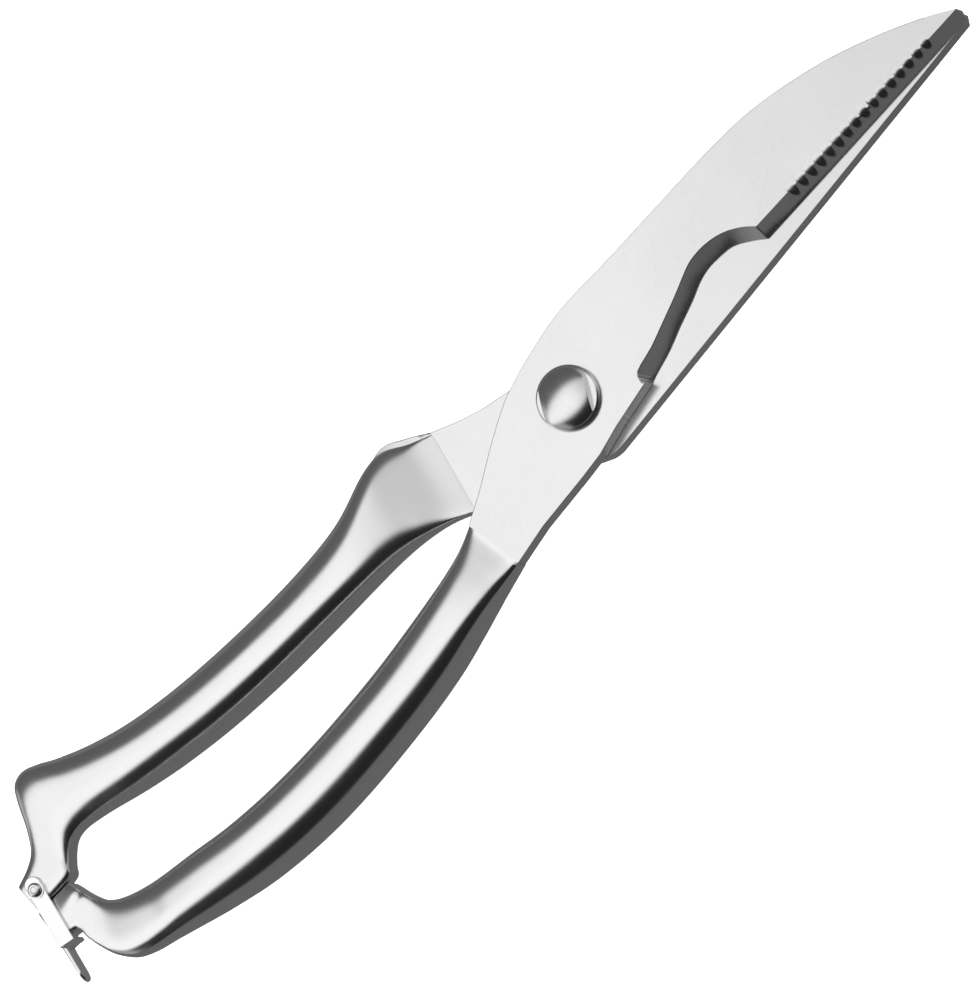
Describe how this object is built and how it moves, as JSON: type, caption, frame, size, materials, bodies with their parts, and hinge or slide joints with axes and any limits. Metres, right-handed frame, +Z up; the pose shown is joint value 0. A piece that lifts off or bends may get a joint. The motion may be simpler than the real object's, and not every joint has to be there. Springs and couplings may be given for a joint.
{
  "type": "poultry shears",
  "caption": "Long-bladed kitchen shears with a scalloped edge, a bone notch, hollow steel handles, a domed pivot bolt and a swinging latch that holds them shut.",
  "frame": {"origin": "on the pivot's axis, on the nut's outer face, in the plane that the shears lie on", "axes": "+Z up through the pivot from the nut to the bolt's dome, +X towards the blade tips, +Y towards the back of the front blade"},
  "size_m": [0.2484, 0.0505, 0.0145],
  "materials": {
    "blade_steel": "fine satin ground stainless steel",
    "handle_steel": "satin brushed stainless steel",
    "polished_steel": "polished stainless steel",
    "spring_steel": "drawn spring wire",
    "latch_steel": "bright rolled stainless sheet"
  },
  "bodies": {
    "rear_half": {"rear_blade": "blade_steel", "rear_handle_top": "handle_steel", "rear_handle_bottom": "handle_steel", "pivot_bolt": "polished_steel", "pivot_nut": "polished_steel", "pivot_washer": "polished_steel", "pivot_spring": "spring_steel", "latch_rivet": "polished_steel", "latch_washer": "polished_steel"},
    "front_half": {"front_blade": "blade_steel", "front_handle_top": "handle_steel", "front_handle_bottom": "handle_steel"},
    "latch": {"latch": "latch_steel"}
  },
  "joints": [
    {"name": "blade_pivot", "type": "hinge", "parent": "rear_half", "child": "front_half", "pos_m": [0, 0, 0.0068], "axis": [0, 0, 1], "range_deg": [0, 30]},
    {"name": "latch_pivot", "type": "hinge", "parent": "rear_half", "child": "latch", "pos_m": [-0.1397, 0.005, 0.0104], "axis": [0, 0, 1], "range_deg": [-110, 0]}
  ]
}
